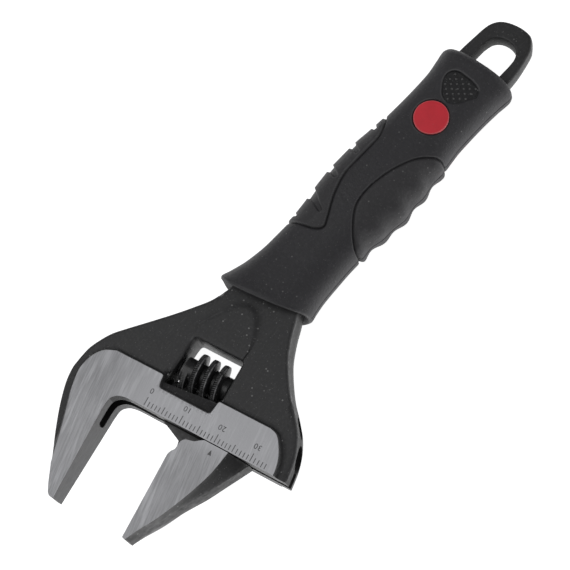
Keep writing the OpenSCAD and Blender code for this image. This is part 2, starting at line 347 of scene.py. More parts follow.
def boolean(ob, others, op="DIFFERENCE"):
    for o in others:
        fix_normals(o)
        m = ob.modifiers.new("b", "BOOLEAN")
        m.operation = op
        m.solver = "EXACT"
        m.object = o
        m.material_mode = "TRANSFER"
    dg = bpy.context.evaluated_depsgraph_get()
    me = bpy.data.meshes.new_from_object(ob.evaluated_get(dg))
    old = ob.data
    ob.modifiers.clear()
    ob.data = me
    me.name = old.name
    for o in others:
        d = o.data
        bpy.data.objects.remove(o)
        bpy.data.meshes.remove(d)
    bm = bmesh.new()
    bm.from_mesh(me)
    bmesh.ops.remove_doubles(bm, verts=bm.verts, dist=2e-7)
    open_edges = [e for e in bm.edges if e.is_boundary]
    if open_edges:
        bmesh.ops.holes_fill(bm, edges=open_edges, sides=8)
    bm.to_mesh(me)
    bm.free()
    return ob


def finish_mesh(ob, angle=32):
    me = ob.data
    me.shade_smooth()
    me.set_sharp_from_angle(angle=math.radians(angle))


def ride(ob, body, slot, *replaced):
    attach(ob, body)
    if replaced:
        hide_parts(*replaced)
    return ob


# ------------------------------------------------------------------ materials
class Net:
    """A small helper for wiring shader nodes."""

    def __init__(self, name, color=(0.1, 0.1, 0.1), rough=0.5, metal=0.0):
        self.m = bpy.data.materials.new(name)
        self.m.use_nodes = True
        self.m.diffuse_color = (*color, 1)
        self.t = self.m.node_tree
        self.b = self.t.nodes["Principled BSDF"]
        self.b.inputs["Base Color"].default_value = (*color, 1)
        self.b.inputs["Roughness"].default_value = rough
        self.b.inputs["Metallic"].default_value = metal
        self.co = self.t.nodes.new("ShaderNodeTexCoord").outputs["Object"]

    def node(self, kind, **kw):
        n = self.t.nodes.new(kind)
        for k, v in kw.items():
            setattr(n, k, v)
        return n

    def link(self, a, b):
        self.t.links.new(a, b)

    def mapping(self, scale=(1, 1, 1), rot=(0, 0, 0), loc=(0, 0, 0), src=None):
        n = self.node("ShaderNodeMapping")
        n.inputs["Scale"].default_value = scale
        n.inputs["Rotation"].default_value = rot
        n.inputs["Location"].default_value = loc
        self.link(src or self.co, n.inputs["Vector"])
        return n.outputs["Vector"]

    def noise(self, scale, detail=2.0, rough=0.5, vec=None, distortion=0.0):
        n = self.node("ShaderNodeTexNoise")
        n.inputs["Scale"].default_value = scale
        n.inputs["Detail"].default_value = detail
        n.inputs["Roughness"].default_value = rough
        n.inputs["Distortion"].default_value = distortion
        self.link(vec or self.co, n.inputs["Vector"])
        return n.outputs["Fac"]

    def voronoi(self, scale, vec=None, feature="F1", rnd=1.0):
        n = self.node("ShaderNodeTexVoronoi", feature=feature)
        n.inputs["Scale"].default_value = scale
        n.inputs["Randomness"].default_value = rnd
        self.link(vec or self.co, n.inputs["Vector"])
        return n

    def ramp(self, src, lo, hi, a=0.0, b=1.0):
        n = self.node("ShaderNodeMapRange")
        n.inputs["From Min"].default_value = lo
        n.inputs["From Max"].default_value = hi
        n.inputs["To Min"].default_value = a
        n.inputs["To Max"].default_value = b
        self.link(src, n.inputs["Value"])
        return n.outputs["Result"]

    def math(self, op, a, b=None, c=None):
        n = self.node("ShaderNodeMath", operation=op)
        for i, v in enumerate((a, b, c)):
            if v is None:
                continue
            if isinstance(v, (int, float)):
                n.inputs[i].default_value = v
            else:
                self.link(v, n.inputs[i])
        return n.outputs[0]

    def mix(self, fac, a, b):
        n = self.node("ShaderNodeMix", data_type="RGBA")
        if isinstance(fac, (int, float)):
            n.inputs["Factor"].default_value = fac
        else:
            self.link(fac, n.inputs["Factor"])
        for i, v in ((6, a), (7, b)):
            if isinstance(v, tuple):
                n.inputs[i].default_value = (*v, 1)
            else:
                self.link(v, n.inputs[i])
        return n.outputs[2]

    def attr(self, name):
        n = self.node("ShaderNodeAttribute", attribute_name=name)
        return n.outputs["Fac"]

    def color(self, src):
        self.link(src, self.b.inputs["Base Color"])

    def rough(self, src):
        self.link(src, self.b.inputs["Roughness"])

    def bump(self, height, dist, strength=1.0, after=None):
        n = self.node("ShaderNodeBump")
        n.inputs["Distance"].default_value = dist
        n.inputs["Strength"].default_value = strength
        self.link(height, n.inputs["Height"])
        if after is not None:
            self.link(after, n.inputs["Normal"])
        self.link(n.outputs["Normal"], self.b.inputs["Normal"])
        return n.outputs["Normal"]


def specks(m, scale, size, share, seed=0.0):
    """1 in small round specks; share is how many of the cells hold one."""
    v = m.mapping(loc=(seed, seed * 1.7, seed * 0.6))
    w = m.voronoi(scale, vec=v)
    spot = m.ramp(w.outputs["Distance"], size, size * 0.5)
    sep = m.node("ShaderNodeSeparateColor")
    m.link(w.outputs["Color"], sep.inputs["Color"])
    on = m.math("LESS_THAN", sep.outputs[0], share)
    return m.math("MULTIPLY", spot, on)


def black_coat(name, base=(0.036, 0.036, 0.0375), rough=0.5, wear_glint_color=(0.16, 0.16, 0.162), shine=0.6):
    m = Net(name, base, rough)
    b = m.b
    b.inputs["Specular IOR Level"].default_value = 0.45
    big = m.noise(90, 4, 0.6)
    fine = m.noise(1500, 3, 0.65)
    c = m.mix(m.ramp(big, 0.3, 0.7), tuple(x * 0.82 for x in base), tuple(x * 1.25 for x in base))
    c = m.mix(m.math("MULTIPLY", m.ramp(fine, 0.48, 0.7), 0.5), c, tuple(x * 2.0 for x in base))
    dust = specks(m, 700, 0.19, 0.2, 3.0)
    c = m.mix(m.math("MULTIPLY", dust, 0.8), c, (0.32, 0.32, 0.32))
    c = m.mix(m.math("MULTIPLY", specks(m, 1500, 0.24, 0.3, 5.0), 0.45), c, (0.22, 0.22, 0.22))
    for turn, seed in ((0.5, 1.0), (-0.9, 4.0), (1.9, 9.0)):
        q = m.mapping(scale=(260, 3200, 3200), rot=(0, 0, turn), loc=(seed, seed, 0))
        hair = m.ramp(m.noise(1, 1, 0.4, vec=q), 0.71, 0.77)
        c = m.mix(m.math("MULTIPLY", hair, 0.14), c, (0.2, 0.2, 0.2))
    bits = m.ramp(m.noise(1000, 2, 0.85), 0.66, 0.72)
    c = m.mix(m.math("MULTIPLY", bits, m.math("MULTIPLY", m.ramp(m.noise(160, 2, 0.5), 0.45, 0.65), 0.55)), c, (0.26, 0.26, 0.26))
    # bright edges from the per-vertex edge attribute: partly worn coat, partly painted highlight
    wear_and_glint = m.math("MULTIPLY", m.attr("wear_and_glint"), m.ramp(m.noise(700, 3, 0.6), 0.3, 0.65))
    c = m.mix(m.math("MULTIPLY", wear_and_glint, shine), c, wear_glint_color)
    m.color(c)
    m.rough(m.math("SUBTRACT", m.ramp(big, 0.25, 0.75, rough - 0.06, rough + 0.08), m.math("MULTIPLY", wear_and_glint, 0.1)))
    h = m.math("ADD", m.math("MULTIPLY", m.noise(450, 3, 0.55), 0.7), m.math("MULTIPLY", fine, 0.3))
    m.bump(h, 0.00012, 0.5)
    return m.m


GRIND = -6.0                              # the grinding lines lean this far from the jaws


def ground_steel(name, base=(0.425, 0.427, 0.444), rough=0.5, metal=0.6):
    """Ground steel; the fine lines run along the jaws."""
    m = Net(name, base, rough, metal)
    a = math.radians(-15)
    v = m.mapping(rot=(0, 0, a))          # x now runs along the jaws
    turned = m.mapping(rot=(0, 0, a + math.radians(GRIND)))
    lines = m.noise(1, 3, 0.7, vec=m.mapping(scale=(150, 2600, 200), src=turned))
    wide = m.noise(1, 2, 0.5, vec=m.mapping(scale=(90, 1100, 100), src=turned))
    cloud = m.noise(120, 3, 0.5)
    c = m.mix(m.ramp(lines, 0.36, 0.64), tuple(x * 0.7 for x in base), tuple(x * 1.16 for x in base))
    c = m.mix(m.math("MULTIPLY", m.ramp(wide, 0.52, 0.66), 0.6), c, tuple(x * 1.42 for x in base))
    c = m.mix(m.math("MULTIPLY", m.ramp(cloud, 0.5, 0.75), 0.25), c, tuple(x * 0.68 for x in base))
    # the band by the worm is painted brighter than the jaws: painted light, standing in for the jaws lying in less
    # light
    sep = m.node("ShaderNodeSeparateXYZ")
    m.link(v, sep.inputs[0])
    band_painted_light = m.math("MULTIPLY", m.ramp(sep.outputs[0], -0.0525, -0.0475), m.ramp(sep.outputs[1], 0.0334, 0.0194))
    c = m.mix(m.math("MULTIPLY", band_painted_light, 0.6), c, tuple(x * 1.5 for x in base))
    m.color(c)
    m.rough(m.ramp(lines, 0.3, 0.7, rough - 0.06, rough + 0.08))
    m.bump(m.math("ADD", lines, m.math("MULTIPLY", wide, 0.6)), 0.00004, 0.5)
    return m.m


def dull_steel(name, base=(0.1, 0.1, 0.102), rough=0.5):
    """Machined but darker faces, such as the fixed jaw's gripping face."""
    m = Net(name, base, rough, 0.7)
    v = m.mapping(rot=(0, 0, math.radians(-15)))
    lines = m.noise(1, 3, 0.7, vec=m.mapping(scale=(300, 300, 1800), src=v))
    c = m.mix(m.ramp(lines, 0.3, 0.7), tuple(x * 0.75 for x in base), tuple(x * 1.25 for x in base))
    c = m.mix(m.math("MULTIPLY", m.ramp(m.noise(500, 3, 0.6), 0.5, 0.7), 0.4), c, tuple(x * 0.6 for x in base))
    m.color(c)
    m.bump(lines, 0.00004, 0.4)
    return m.m


def grip_skin(name, base=(0.041, 0.040, 0.0445), rough=0.58, grain=1.0):
    m = Net(name, base, rough)
    m.b.inputs["Specular IOR Level"].default_value = 0.5
    big = m.noise(60, 3, 0.55)
    fine = m.noise(2600, 2, 0.6)
    c = m.mix(m.ramp(big, 0.3, 0.7), tuple(x * 0.9 for x in base), tuple(x * 1.1 for x in base))
    dust = m.math("MULTIPLY", specks(m, 620, 0.15, 0.26, 7.0), 0.65)
    c = m.mix(dust, c, (0.24, 0.24, 0.24))
    c = m.mix(m.math("MULTIPLY", specks(m, 1500, 0.22, 0.38, 11.0), 0.5), c, (0.17, 0.17, 0.17))
    c = m.mix(m.math("MULTIPLY", m.ramp(m.noise(1300, 3, 0.7), 0.5, 0.7), 0.4), c, tuple(x * 1.9 for x in base))
    # painted highlight line beside each groove, painted shade in the groove itself
    c = m.mix(m.math("MULTIPLY", m.attr("painted_shade"), 0.8), c, (0.008, 0.008, 0.009))
    c = m.mix(m.math("MULTIPLY", m.attr("painted_highlight"), 0.75), c, (0.17, 0.17, 0.175))
    m.color(c)
    m.rough(m.ramp(big, 0.25, 0.75, rough - 0.05, rough + 0.07))
    m.bump(m.math("ADD", fine, m.math("MULTIPLY", m.noise(900, 2, 0.5), 1.4)), 0.0001 * grain, 0.7)
    return m.m


def red_plastic(name):
    base = (0.98, 0.034, 0.06)
    m = Net(name, base, 0.5)
    c = m.mix(m.ramp(m.noise(300, 3, 0.6), 0.35, 0.7), tuple(x * 0.93 for x in base), tuple(min(1.0, x * 1.05) for x in base))
    c = m.mix(m.math("MULTIPLY", specks(m, 900, 0.12, 0.03, 2.0), 0.3), c, (0.6, 0.3, 0.3))
    # lighter pink ring on the disc's edge: painted highlight
    c = m.mix(m.math("MULTIPLY", m.attr("painted_highlight"), 0.45), c, (0.95, 0.45, 0.45))
    m.color(c)
    m.bump(m.noise(1800, 2, 0.5), 0.00003, 0.5)
    return m.m


def plain_dark(name, base, rough=0.6):
    m = Net(name, base, rough)
    c = m.mix(m.ramp(m.noise(800, 3, 0.6), 0.35, 0.7), tuple(x * 0.8 for x in base), tuple(x * 1.25 for x in base))
    m.color(c)
    m.bump(m.noise(1500, 2, 0.5), 0.00003, 0.4)
    return m.m


def wire_steel(name):
    m = Net(name, (0.06, 0.06, 0.062), 0.5, 0.0)
    c = m.mix(m.ramp(m.noise(1200, 2, 0.5), 0.35, 0.7), (0.045, 0.045, 0.047), (0.08, 0.08, 0.082))
    m.color(c)
    m.bump(m.noise(2500, 2, 0.5), 0.00002, 0.4)
    return m.m


COAT = black_coat("coat")
# the worm's coat has a bright, full-strength edge colour: painted highlight on the thread, partly worn steel
COAT_WORM = black_coat("coat_worm", (0.022, 0.022, 0.023), 0.36, (0.4, 0.4, 0.41), 1.0)
GROUND = ground_steel("ground")
DULL = dull_steel("machined")
BORE = plain_dark("bore_steel", (0.03, 0.03, 0.03), 0.7)
# near-black for the walls at the window's lower-left corner: painted shade
NOOK_PAINTED_SHADE = plain_dark("pocket_nook_painted_shade", (0.006, 0.006, 0.006), 0.95)
# the rail's dark steel, darkened further below the bore's colour: painted shade inside the bore
RAIL_PAINTED_SHADE = plain_dark("rail_steel_painted_shade", (0.017, 0.017, 0.018), 0.55)
# darker copy of the machined steel for the fillet wall above the slot: painted shade
LIP_PAINTED_SHADE = dull_steel("fillet_lip_painted_shade", (0.03, 0.03, 0.031), 0.55)
# darker copy of the black coat for the forged side walls: painted shade
COAT_SIDE_PAINTED_SHADE = black_coat("coat_side_painted_shade", (0.014, 0.014, 0.0145), 0.6, (0.12, 0.12, 0.122))
# darker copy of the black coat for the jaw's sloping flank: painted shade
COAT_FLANK_PAINTED_SHADE = black_coat("coat_flank_painted_shade", (0.03, 0.03, 0.031), 0.5)
SKIN = grip_skin("grip_hard_skin")
SOFT = grip_skin("grip_soft_skin", (0.05, 0.0488, 0.0525), 0.6)
TEXT = grip_skin("heel_skin", (0.013, 0.013, 0.0145), 0.5)
PIPS = grip_skin("heel_pips", (0.12, 0.118, 0.122), 0.5)
RED = red_plastic("disc_red_skin")
ETCH = plain_dark("etch", (0.15, 0.15, 0.155), 0.6)
# darker copy of the black coat for the window walls: painted shade
COAT_INNER_PAINTED_SHADE = black_coat("coat_inner_painted_shade", (0.02, 0.02, 0.021), 0.5, (0.02, 0.02, 0.021), 0.0)
# near-black copy of the black coat for the loop's hole wall: painted shade
COAT_DEEP_PAINTED_SHADE = black_coat("coat_deep_painted_shade", (0.013, 0.013, 0.0135), 0.6, (0.013, 0.013, 0.0135), 0.0)
WIRE = wire_steel("spring_wire")

# ------------------------------------------------------------------ the head's outlines, in head coordinates
HH, TIP = 6.35, 4.15                      # half thickness of the head over its ground faces, and at the tips
WEB = 4.6                                 # half thickness of the plain forged part
EDGE_Y, RAIL_Y, WORM_Y, FIX_X = -15.7, -8.9, -1.9, -8.8
JAW_X = FIX_X + 20

back_of_head = smooth([[3.3, 20.4], [0.9, 15.9], [-2.2, 12.2], [-5.95, 8.15], [-10.95, 3.15], [-14.6, -0.45],
    [-17.2, -3.2], [-19.05, -6.1], [-20.5, -9.2], [-21.35, -13.3], [-21.55, -15.65], [-21.1, -19.3],
    [-19.65, -24.3], [-17.75, -29.25], [-16, -33.25], [-13.65, -38.2], [-11.85, -42.4], [-10.75, -44.6]], 8)
right_of_head = smooth([[40.1, EDGE_Y], [39.55, -11.6], [38.7, -8.3], [37.55, -5.5], [36.1, -3], [34.3, -0.75],
    [32.6, 1.2], [30.4, 3.6], [28.45, 6.25], [26.4, 9.4], [24.8, 12.4], [23.25, 16.7], [22.2, 20.65], [21, 24.65], [19.95, 28]], 6)
jaw_fillet = smooth([[-8.8, -20.4], [-8.45, -17.9], [-7.1, -16.45], [-5.2, -15.85], [-2.6, EDGE_Y]], 6)
silhouette = np.vstack([[[5.1, 31.8], [4.1, 26]], back_of_head, [[-10.1, -45.3], [-8.8, -45.35]], jaw_fillet, [[36.7, EDGE_Y]], right_of_head])
face_back = np.vstack([smooth([[-13, -6.7], [-16, -8.1], [-17.9, -10.6], [-18.75, -13.2], [-18.95, -15.6], [-18.2, -20],
    [-17, -24.5], [-15.5, -30], [-14.4, -35]], 8), back_of_head[-17:]])      # its last stretch is the outline itself
face_right = smooth([[36.7, EDGE_Y], [36.4, -13.6], [35.5, -10.9], [33.9, -8.2], [32.4, -6.6], [30.5, -6]], 6)
face_pts = np.vstack([face_back, [[-10.1, -45.3], [-8.8, -45.35]], jaw_fillet, [[36.7, EDGE_Y]], face_right[1:],
    [[16.1, -6.1], [15.6, -9.9], [0.9, -9.9], [0.4, -6.6]]])
ground_in = round_corners(face_pts, [0] * (len(face_pts) - 4) + [0.5, 1.0, 1.2, 0.5], 6)
notch = round_corners([[16.1, -6.1], [16.1, -5], [0.4, -5], [0.4, -6.6], [0.9, -9.9], [15.6, -9.9]], [0, 0, 0, 0, 1.2, 1.0], 6)
tongue = ring([[2.2, 3], [9, 2.6], [15.4, 3], [15.5, 5.5], [15.8, 9.3], [14.9, 13.3], [13.9, 15.8], [12.3, 17.6], [10, 18.3], [7.6, 17.3],
    [5.8, 15.4], [4.6, 13.8], [2.6, 10.95], [1.3, 8.25], [1.5, 5.5]], 6)
window = round_corners([[1.05, -7.95], [15.95, -6.2], [15.95, 5.6], [2.15, 5.6]], [0.5, 0.5, 0.9, 0.9], 6)


def ground_z(v):
    """Height of the ground faces: level over the band, thinning to the tips."""
    t = np.maximum(0, -20 - v[:, 1])
    return HH - t * (HH - TIP) / 25.5


SIL = resample(silhouette, 0.6)
SIL_A = np.vstack([[[5.1, 31.8], [4.1, 26]], back_of_head])
SIL_B = right_of_head
GIN = resample(ground_in, 0.6)
# the ground area's edge, without the part that it shares with the outline
i0 = len(face_back) - 16
i1 = len(face_back) + 2 + len(jaw_fillet)
GLINE = resample(np.vstack([ground_in[i1:], ground_in[:i0]]), 0.6, False)
WALL = 3.75                               # half height of the forged side walls


WIN = resample(window, 0.6)


def forged_edge(v):
    return np.minimum(dist(v, SIL_A, False), dist(v, SIL_B, False))


def head_height(v):
    s = forged_edge(v)
    black = WALL + (WEB - WALL) * quarter(s / 0.75)
    # the boss over the window's throat: crisp on its right, all but flush at the collar
    t = np.where(inside(v, tongue), 1, -1) * dist(v, tongue)
    soft = 0.3 + 1.8 * sstep((v[:, 1] - 8) / 8) + 0.7 * sstep((9 - v[:, 0]) / 5)
    black = black + 0.36 * sstep(t / soft + 0.5) * sstep((v[:, 1] - 3.6) / 2.2)
    # edges of the window are a little rounded
    dw = dist(v, WIN)
    black = black - 0.45 * (1 - quarter(dw / 0.7)) * (v[:, 1] > -5.5)
    # the unground margin beside the window falls away towards it
    black = np.where(inside(v, notch), 5.5 - 1.5 * sstep((v[:, 1] + 9.9) / 3.9), black)
    black = np.where(v[:, 1] < -20, np.minimum(black, ground_z(v) - 0.15), black)
    d = dist(v, GIN)
    on = inside(v, GIN) | (d < 2e-3)
    g = ground_z(v)
    k = 1 - sstep(d / np.maximum(0.02, np.minimum(0.8, d + s)))
    return np.where(on, g, black + (g - black) * k)


def on_ground(c):
    return inside(c, GIN)


# ------------------------------------------------------------------ the forging
def build_body():
    win = WIN
    offs = (0.05, 0.12, 0.22, 0.36, 0.55, 0.8, 1.1)
    rings = [(resample(SIL_A, 0.6, False), offs), (resample(SIL_B, 0.6, False), offs),
             (GIN, (-0.1, -0.22, -0.36, -0.52, -0.7, -0.9)),
             (WIN, (-0.06, -0.14, -0.26, -0.45, -0.7)),
             (resample(tongue, 0.6), (-0.45, -0.28, -0.14, 0.0, 0.14, 0.28, 0.45, 0.8, 1.2))]
    v, f, h = relief(SIL, [win], [(GLINE, False)], head_height, 1.1, rings)
    V, F, kind = slab(v, f, h, crown=lambda p: 0.25 if forged_edge(p)[0] < 0.02 else 0.0)
    c = np.array([V[list(t)].mean(0) for t in F])
    gr = on_ground(c[:, :2]) & (kind < 2)
    idx = np.where(gr, 1, 0)
    # machined walls: gripping face, fillet and working edge
    wall = kind == 2
    mach = wall & ((dist(c[:, :2], np.vstack([[[-8.8, -45.25]], jaw_fillet]), False) < 0.05) | (np.abs(c[:, 1] - EDGE_Y) < 0.05))
    idx = np.where(mach, 2, idx)
    # the forged side walls take the darker coat copy: painted shade
    idx = np.where(wall & ~mach, 5, idx)
    # the machined fillet wall on the upper side takes the darker copy: painted shade
    idx = np.where(mach & (c[:, 2] > 0) & (c[:, 0] > -8.4) & (c[:, 1] < EDGE_Y - 0.06) & (c[:, 1] > -19), 6, idx)
    # the window's walls take the darker coat copy: painted shade
    hole = wall & (dist(c[:, :2], WIN) < 0.05)
    idx = np.where(hole, 4, idx)
    # near-black on the walls at the window's lower-left corner: painted shade
    idx = np.where(hole & (c[:, 0] < 3.0) & (c[:, 1] < -4.0), 7, idx)
    # bright lines along the forged, window and ground edges: partly worn coat, partly painted highlight
    s = forged_edge(V[:, :2])
    wear_and_glint = np.exp(-(s / 0.35) ** 2) * (np.abs(V[:, 2]) > 3)
    wear_and_glint = np.maximum(wear_and_glint, 1.1 * np.exp(-(dist(V[:, :2], WIN) / 0.22) ** 2) * (V[:, 0] < 8) * (V[:, 1] > -5))
    d = dist(V[:, :2], GIN)
    wear_and_glint = np.maximum(wear_and_glint, np.exp(-(d / 0.25) ** 2))
    # the boss's left edge: a little coat worn off, and a painted highlight line along it
    td = dist(V[:, :2], tongue)
    wear_and_glint = np.maximum(wear_and_glint, 0.85 * np.exp(-(td / 0.22) ** 2) * (V[:, 0] < 8) * (V[:, 1] > 4.2) * (V[:, 1] < 16))
    ob = make("forging_head", from_head(V), F, [COAT, GROUND, DULL, BORE, COAT_INNER_PAINTED_SHADE, COAT_SIDE_PAINTED_SHADE, LIP_PAINTED_SHADE, NOOK_PAINTED_SHADE], idx, attrs={"wear_and_glint": wear_and_glint}, flat=True)
    cuts = []
    v1, f1 = lathe_x([(-18.8, 2.3), (-17.3, 3.4), (50, 3.4)], RAIL_Y, n=72)
    cuts.append(cutter("c1", v1, f1, BORE, from_head))
    v1, f1 = extruded([[-17, EDGE_Y - 1.0], [50, EDGE_Y - 1.0], [50, RAIL_Y], [-17, RAIL_Y]], -1.5, 1.5)
    cuts.append(cutter("c2", v1, f1, BORE, from_head))
    # pocket that takes the closed jaw's root: a round cutter's track, limited above the rail
    # two tracks side by side, the middle one longer, so its end looks round
    for k, (z, r) in enumerate(((2.3, 8.7), (2.0, 8.9), (1.5, 9.03), (0.8, 9.13))):
        cx, cy = -6.8, -15.5
        arc = [[cx + r * math.cos(t), cy + r * math.sin(t)] for t in np.linspace(math.radians(142), math.radians(295), 60)]
        v1, f1 = extruded(arc + [[3 + 0.1 * k, -30], [3 + 0.1 * k, -10 - 0.1 * k]], -z, z)
        cuts.append(cutter("c3%d" % k, v1, f1, BORE, from_head))
    # room for the worm under the margin; its walls take the darker coat copy as painted shade
    v1, f1 = lathe_x([(3.0, 5.75), (15.9, 5.75)], WORM_Y, n=96)
    cuts.append(cutter("c5", v1, f1, COAT_INNER_PAINTED_SHADE, from_head))
    v1, f1 = lathe_x([(-5, 1.55), (29.5, 1.55), (29.5, 2.35), (42, 2.35)], WORM_Y, n=40)
    cuts.append(cutter("c4", v1, f1, BORE, from_head))
    boolean(ob, cuts)
    finish_mesh(ob, 34)
    return ob


# ------------------------------------------------------------------ the hanging loop, in handle coordinates
def build_loop():
    side = smooth([[53.4, -7.75], [55.8, -7.55], [58, -7.2], [60.7, -6.6], [63.2, -5.9], [64.5, -5.1], [65.5, -4.25], [66.25, -3.2],
        [66.5, -1.9], [66.45, 0], [66.05, 1.9], [65.4, 3.7], [64.4, 5.3], [63.2, 6.3], [61.8, 6.95], [60, 7.3], [57, 7.5], [53.4, 7.7]], 5)
    out = np.vstack([[[49, -7.85]], side, [[49, 7.75]]])
    out = resample(out, 0.5)
    end = smooth([[56.6, -4.6], [58.9, -4.35], [60.4, -3.55], [61.3, -2.2], [61.6, -0.5], [61.35, 1.1], [60.6, 2.6], [59.2, 3.75], [56.8, 4.3]], 5)
    hole = round_corners(np.vstack([[[52.2, -4.65]], end, [[52.2, 4.3]]]), [0.5] + [0] * len(end) + [0.5], 5)
    hole = resample(hole, 0.5)
    offs = (0.06, 0.16, 0.3, 0.5, 0.75, 1.05)

    def height(v):
        a = dist(v, out)
        b = dist(v, hole)
        h = 2.5 - 0.7 * (1 - quarter(a / 0.8)) - 0.35 * (1 - quarter(b / 0.5))
        return h

    v, f, h = relief(out, [hole], [], height, 0.9, [(out, offs), (hole, tuple(-o for o in offs[:5]))])
    V, F, kind = slab(v, f, h, crown=lambda p: 0.1)
    # bright lines along the loop's edges: partly worn coat, partly painted highlight
    wear_and_glint = 0.7 * np.exp(-(dist(V[:, :2], out) / 0.25) ** 2) * (np.abs(V[:, 2]) > 1)
    wear_and_glint = np.maximum(wear_and_glint, 0.5 * np.exp(-((dist(V[:, :2], hole) - 0.1) / 0.2) ** 2) * (np.abs(V[:, 2]) > 1))
    c = np.array([V[list(t)].mean(0) for t in F])
    # the hole's wall takes the near-black coat copy: painted shade
    idx = np.where((kind == 2) & (dist(c[:, :2], hole) < 0.3), 1, 0)
    ob = make("hanging_loop", from_handle(V), F, [COAT, COAT_DEEP_PAINTED_SHADE], idx, attrs={"wear_and_glint": wear_and_glint}, angle=40)
    return ob


# ------------------------------------------------------------------ the sliding jaw
def build_jaw():
    wave = smooth([[6.5, -0.25], [5.5, -0.85], [4.4, -1.65], [3.1, -2.0], [2.2, -2.3], [1.5, -3.05], [1.25, -4.3], [1.1, -5.4], [0.45, -6.3], [0.03, -7.4]], 6)
    tip = round_corners([[0.03, -9], [0.03, -30], [0.95, -30], [1.95, -30]], [0, 0.5, 0, 0], 4)
    outer = smooth([[1.95, -30], [3.3, -27], [5.3, -23.1], [7.3, -19.7], [9.6, -15.7], [12.2, -11.6], [14.4, -7.5], [16.4, -3.8], [18.3, -0.25]], 6)
    inner = smooth([[0.95, -30], [2.5, -27], [5.2, -22.5], [7, -18.9], [8.7, -15.2], [10.3, -11.3], [11.8, -7], [12.6, -3.4], [13.1, -0.25]], 6)
    o = np.array([JAW_X, EDGE_Y])
    out = resample(np.vstack([wave, tip, outer[1:], [[13.1, -0.25]]]), 0.6) + o
    mid = resample(inner, 0.6, False) + o
    outer_w, inner_w = outer + o, inner + o

    sliver = np.vstack([outer_w, inner_w[::-1]])

    def height(v):
        g = HH - np.maximum(0, -20 - v[:, 1]) * (HH - TIP) / 25.5
        # flank: falls from the ground face to the side wall
        a = dist(v, inner_w, False)
        b = dist(v, outer_w, False)
        flank = (inside(v, sliver) | (dist(v, sliver) < 2e-3)) & (a > 2e-3)
        t = a / np.maximum(a + b, 1e-6)
        low = 2.7 - 1.5 * sstep((-30 - v[:, 1]) / 14)
        return np.where(flank, g + (low - g) * t, g)

    v, f, h = relief(out, [], [(mid, False)], height, 1.2, [(mid, (-0.2, -0.5, -0.9, -1.4, -2.0, -2.7, -3.5))])
    V, F, kind = slab(v, f, h, crown=lambda p: 0.12 if dist(p, outer_w, False)[0] < 0.02 else 0.0)
    c = np.array([V[list(t)].mean(0) for t in F])
    idx = np.where(~inside(c[:, :2], sliver) & (kind < 2), 1, 0)
    # the sloping flank takes the darker coat copy: painted shade
    idx = np.where(inside(c[:, :2], sliver) & (kind < 2), 4, idx)
    # the side walls take the darker coat copy: painted shade
    idx = np.where(kind == 2, 5, idx)
    grip_face = (kind == 2) & (np.abs(c[:, 0] - JAW_X) < 0.05)
    idx = np.where(grip_face, 2, idx)
    # bright lines along the jaw's edges: partly worn coat, partly painted highlight
    wear_and_glint = np.exp(-(np.minimum(dist(V[:, :2], mid, False), dist(V[:, :2], out)) / 0.25) ** 2)
    blade = make("jaw_blade", from_head(V), F, [COAT, GROUND, DULL, BORE, COAT_FLANK_PAINTED_SHADE, COAT_SIDE_PAINTED_SHADE], idx, attrs={"wear_and_glint": wear_and_glint}, flat=True)
    adds = []
    gus = np.array([[-6.4, -0.27], [-0.3, -2.9], [0.4, -5.6], [0.8, -9], [9, -9], [13.6, -4], [16.6, -0.27]]) + o
    v1, f1 = extruded(gus, -2.2, 2.2)
    adds.append(cutter("a1", v1, f1, COAT, from_head))
    v1, f1 = extruded(np.array([[-6.3, -0.4], [16.5, -0.4], [16.5, 4], [-6.8, 4]]) + o, -1.4, 1.4)
    adds.append(cutter("a2", v1, f1, BORE, from_head))
    r = 3.32
    # rail and teeth take the darkened rail steel: painted shade inside the bore
    v1, f1 = lathe_x([(JAW_X - 9.8, 2.35), (JAW_X - 8.5, r), (JAW_X + 19, r), (JAW_X + 19.8, 2.5)], RAIL_Y, n=64)
    rail = cutter("a3", v1, f1, RAIL_PAINTED_SHADE, from_head)
    teeth = []
    for i in range(-2, 9):
        x = (i + 0.25) * 3.05 - 4.5 + JAW_X
        v1, f1 = extruded([[x - 0.85, -7.7], [x + 0.85, -7.7], [x + 1.4, -5], [x - 1.4, -5]], -5, 5)
        teeth.append(cutter("t%d" % i, v1, f1, RAIL_PAINTED_SHADE, from_head))
    boolean(rail, teeth)
    adds.append(rail)
    boolean(blade, adds, "UNION")
    finish_mesh(blade, 34)
    return blade


# ------------------------------------------------------------------ the moulded handle, in handle coordinates
STATIONS = np.array([[-27.8, 10.2, -12.5, 8.5, 1.16, 1], [-27, 10.7, -13, 8.9, 1.15, 1], [-25, 9.95, -12.65, 8.6, 1.1, 0.9],
    [-21, 8.65, -12.05, 8.2, 0.95, 0.5], [-15, 7.95, -11.6, 7.9, 0.8, 0.15], [-9, 7.9, -11.3, 7.9, 0.55, 0],
    [-3, 8.4, -11.25, 8.1, 0.3, 0], [3, 9.4, -11.6, 8.3, 0.1, 0], [9, 9.95, -12.2, 8.4, 0, 0],
    [15, 9.95, -11.8, 8.4, 0, 0], [21, 9.45, -11.25, 8.3, 0, 0], [27, 9.1, -10.6, 8.1, 0, 0],
    [34, 9, -9.75, 8, 0, 0], [41, 9.2, -9.6, 8, 0.05, 0], [46.4, 10, -9.8, 8.1, 0.25, 0],
    [49.6, 10.5, -10.15, 8.1, 0.4, 0], [51, 10, -9.75, 7.6, 0.42, 0], [51.7, 8.5, -8.4, 6.6, 0.42, 0]])
